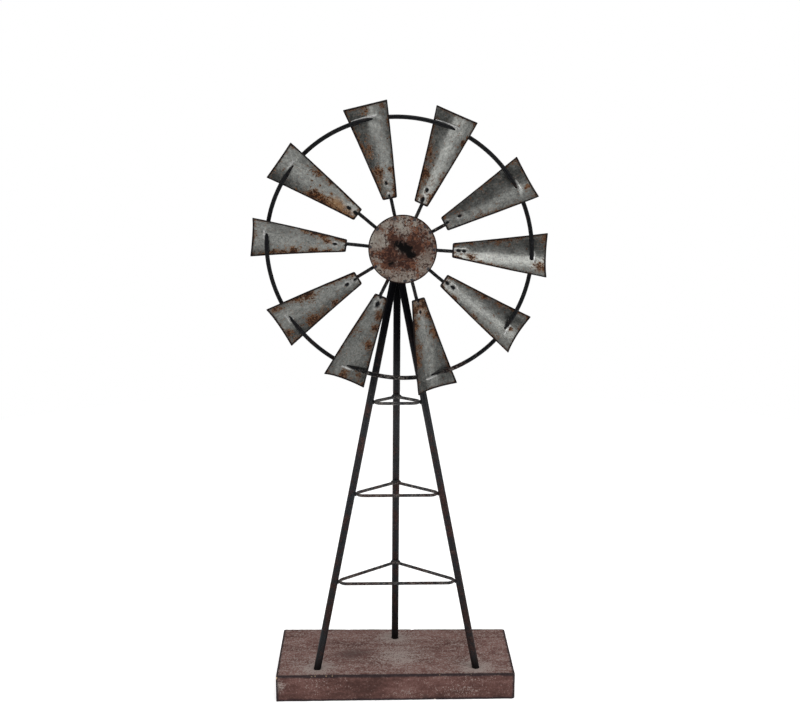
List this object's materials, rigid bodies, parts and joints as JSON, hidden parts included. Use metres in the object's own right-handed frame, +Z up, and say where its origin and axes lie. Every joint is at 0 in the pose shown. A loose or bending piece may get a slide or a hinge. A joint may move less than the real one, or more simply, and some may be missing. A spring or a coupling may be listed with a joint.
{
  "type": "garden windmill",
  "caption": "Tabletop garden windmill: a bladed sheet-metal wheel that spins on an axle at the top of a three-legged rod tower standing in a rectangular block base.",
  "frame": {"origin": "middle of the base block's underside, on the surface that it stands on", "axes": "+Z up along the tower, -Y towards the wheel's front face, +X to the right seen from the front"},
  "size_m": [0.2874, 0.1128, 0.5989],
  "materials": {
    "base_wood": "matte brown paint, worn at the edges",
    "tower_rod": "dark lacquer worn to brown in places",
    "wheel_rod": "dark oxidised steel rod",
    "galvanised_sheet": "weathered galvanised sheet with rust along its edges",
    "hub_steel": "mottled bare steel with rust and a heat mark",
    "fastener_steel": "dull zinc"
  },
  "bodies": {
    "stand": {"base_block": "base_wood", "leg_front_left": "tower_rod", "leg_front_right": "tower_rod", "leg_back": "tower_rod", "brace_lower": "tower_rod", "brace_middle": "tower_rod", "brace_upper": "tower_rod", "axle_sleeve": "tower_rod"},
    "wheel": {"hub_disc": "hub_steel", "axle": "fastener_steel", "front_washer": "fastener_steel", "rear_washer": "fastener_steel", "axle_nut": "fastener_steel", "wheel_ring": "wheel_rod", "spoke_01": "wheel_rod", "spoke_02": "wheel_rod", "spoke_03": "wheel_rod", "spoke_04": "wheel_rod", "spoke_05": "wheel_rod", "spoke_06": "wheel_rod", "spoke_07": "wheel_rod", "spoke_08": "wheel_rod", "spoke_09": "wheel_rod", "spoke_10": "wheel_rod", "blade_01": "galvanised_sheet", "blade_02": "galvanised_sheet", "blade_03": "galvanised_sheet", "blade_04": "galvanised_sheet", "blade_05": "galvanised_sheet", "blade_06": "galvanised_sheet", "blade_07": "galvanised_sheet", "blade_08": "galvanised_sheet", "blade_09": "galvanised_sheet", "blade_10": "galvanised_sheet"}
  },
  "joints": [
    {"name": "wheel_spin", "type": "hinge", "parent": "stand", "child": "wheel", "pos_m": [0.0068, -0.0286, 0.4578], "axis": [0, 1, 0], "continuous": true}
  ]
}
